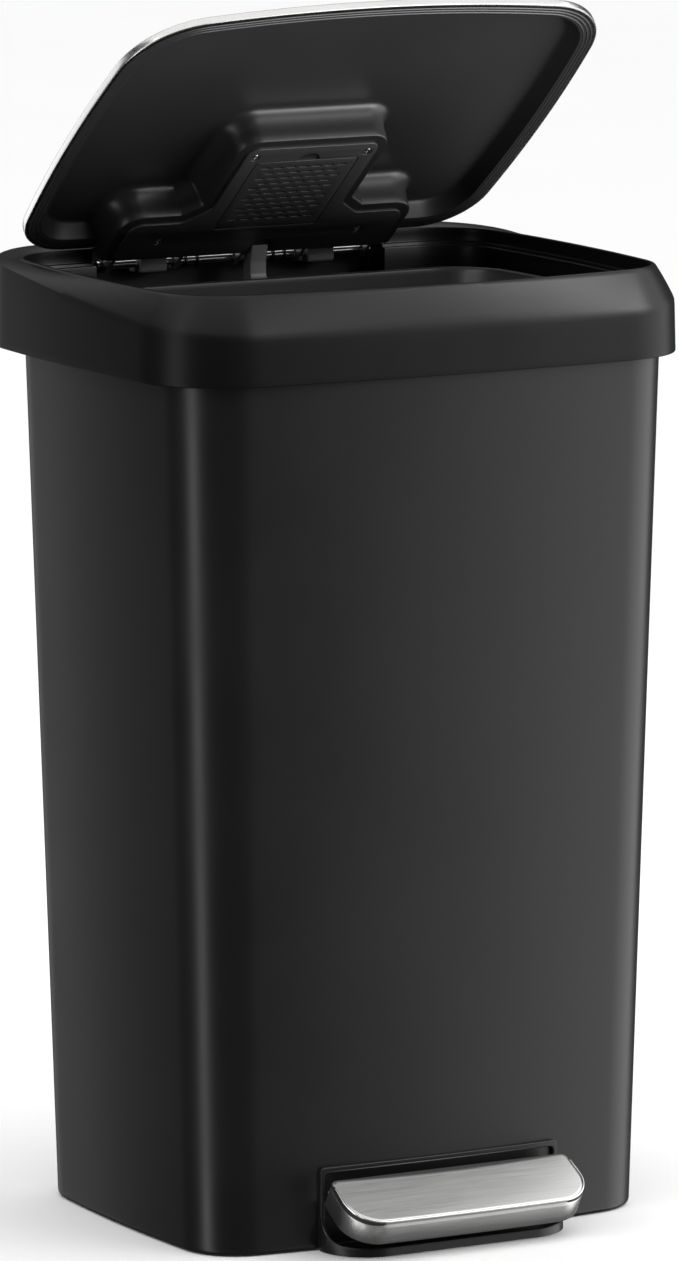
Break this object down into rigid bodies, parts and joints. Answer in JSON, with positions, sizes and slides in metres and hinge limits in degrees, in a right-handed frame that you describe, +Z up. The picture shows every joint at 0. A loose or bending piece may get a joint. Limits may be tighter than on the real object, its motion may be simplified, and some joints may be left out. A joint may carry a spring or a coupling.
{
  "type": "pedal trash can",
  "caption": "Tall tapered pedal trash can with a collar, lift-out bucket, hinged stainless lid, filter door in the lid and a foot pedal linked to the lid.",
  "frame": {"origin": "middle of the body on the floor it stands on, at the underside of its rubber feet", "axes": "+X to the right seen from the front, -Y out of the front where the pedal is, +Z up"},
  "size_m": [0.406, 0.3595, 0.8237],
  "materials": {
    "body_plastic": "fine satin texture, charcoal",
    "base_plastic": "plain moulded, black",
    "collar_plastic": "satin, black",
    "bucket_plastic": "satin, black",
    "tray_plastic": "satin, black",
    "cover_plastic": "satin, black",
    "bezel_plastic": "satin, black",
    "lid_steel": "stainless sheet, brushed along X",
    "pedal_steel": "stainless sheet, brushed along X",
    "rod_steel": "drawn bright steel",
    "clip_steel": "spring steel, blackened",
    "bracket_steel": "zinc plated sheet",
    "screw_steel": "nickel plated",
    "link_plastic": "moulded nylon, grey",
    "damper_plastic": "smooth, dark grey",
    "foot_rubber": "soft rubber, dark grey",
    "filter_pad": "carbon felt, dark grey"
  },
  "bodies": {
    "body": {"body_shell": "body_plastic", "base_plate": "base_plastic", "base_screws": "screw_steel", "rubber_feet": "foot_rubber", "collar": "collar_plastic", "inner_bucket": "bucket_plastic", "hinge_rod": "rod_steel", "hinge_blocks": "link_plastic", "block_screws": "screw_steel", "rod_washers": "rod_steel", "rod_clips": "clip_steel", "rod_guides": "link_plastic", "damper_cylinder": "damper_plastic", "pedal_bezel": "bezel_plastic", "pedal_pin": "rod_steel", "lever_bracket": "bracket_steel", "lever_pin": "rod_steel", "bracket_screws": "screw_steel"},
    "lid": {"lid_skin": "lid_steel", "lid_tray": "tray_plastic", "hinge_cover": "cover_plastic", "cover_screws": "screw_steel", "filter_cartridge": "filter_pad", "hinge_bracket": "bracket_steel", "lift_pin": "rod_steel"},
    "filter_door": {"filter_door": "cover_plastic"},
    "pedal": {"pedal_plate": "pedal_steel", "pedal_core": "base_plastic"},
    "lever": {"pedal_lever": "bracket_steel", "lever_roller": "link_plastic", "roller_pin": "rod_steel"},
    "push_rod": {"push_rod": "rod_steel", "lift_link": "link_plastic", "damper_piston": "rod_steel"}
  },
  "joints": [
    {"name": "lid_hinge", "type": "hinge", "parent": "body", "child": "lid", "pos_m": [0, 0.157, 0.6295], "axis": [-1, 0, 0], "range_deg": [-39.5, 8.5]},
    {"name": "filter_hinge", "type": "hinge", "parent": "lid", "child": "filter_door", "pos_m": [0, 0.11186, 0.65712], "axis": [1, 0, 0], "range_deg": [0, 85]},
    {"name": "pedal_pivot", "type": "hinge", "parent": "body", "child": "pedal", "pos_m": [0, -0.128, 0.037], "axis": [1, 0, 0], "range_deg": [-17.05, 3.71]},
    {"name": "lever_pivot", "type": "hinge", "parent": "body", "child": "lever", "pos_m": [0, -0.063, 0.024], "axis": [1, 0, 0], "range_deg": [-3.83, 0.86]},
    {"name": "push_slide", "type": "slide", "parent": "body", "child": "push_rod", "axis": [0, 0, 1], "range_m": [-0.01237, 0.0027]}
  ],
  "couplings": [
    {"joint": "pedal_pivot", "follows": "lid_hinge", "ratio": 0.43038},
    {"joint": "lever_pivot", "follows": "lid_hinge", "ratio": 0.0956},
    {"joint": "push_slide", "follows": "lid_hinge", "m_per_rad": 0.017876}
  ]
}
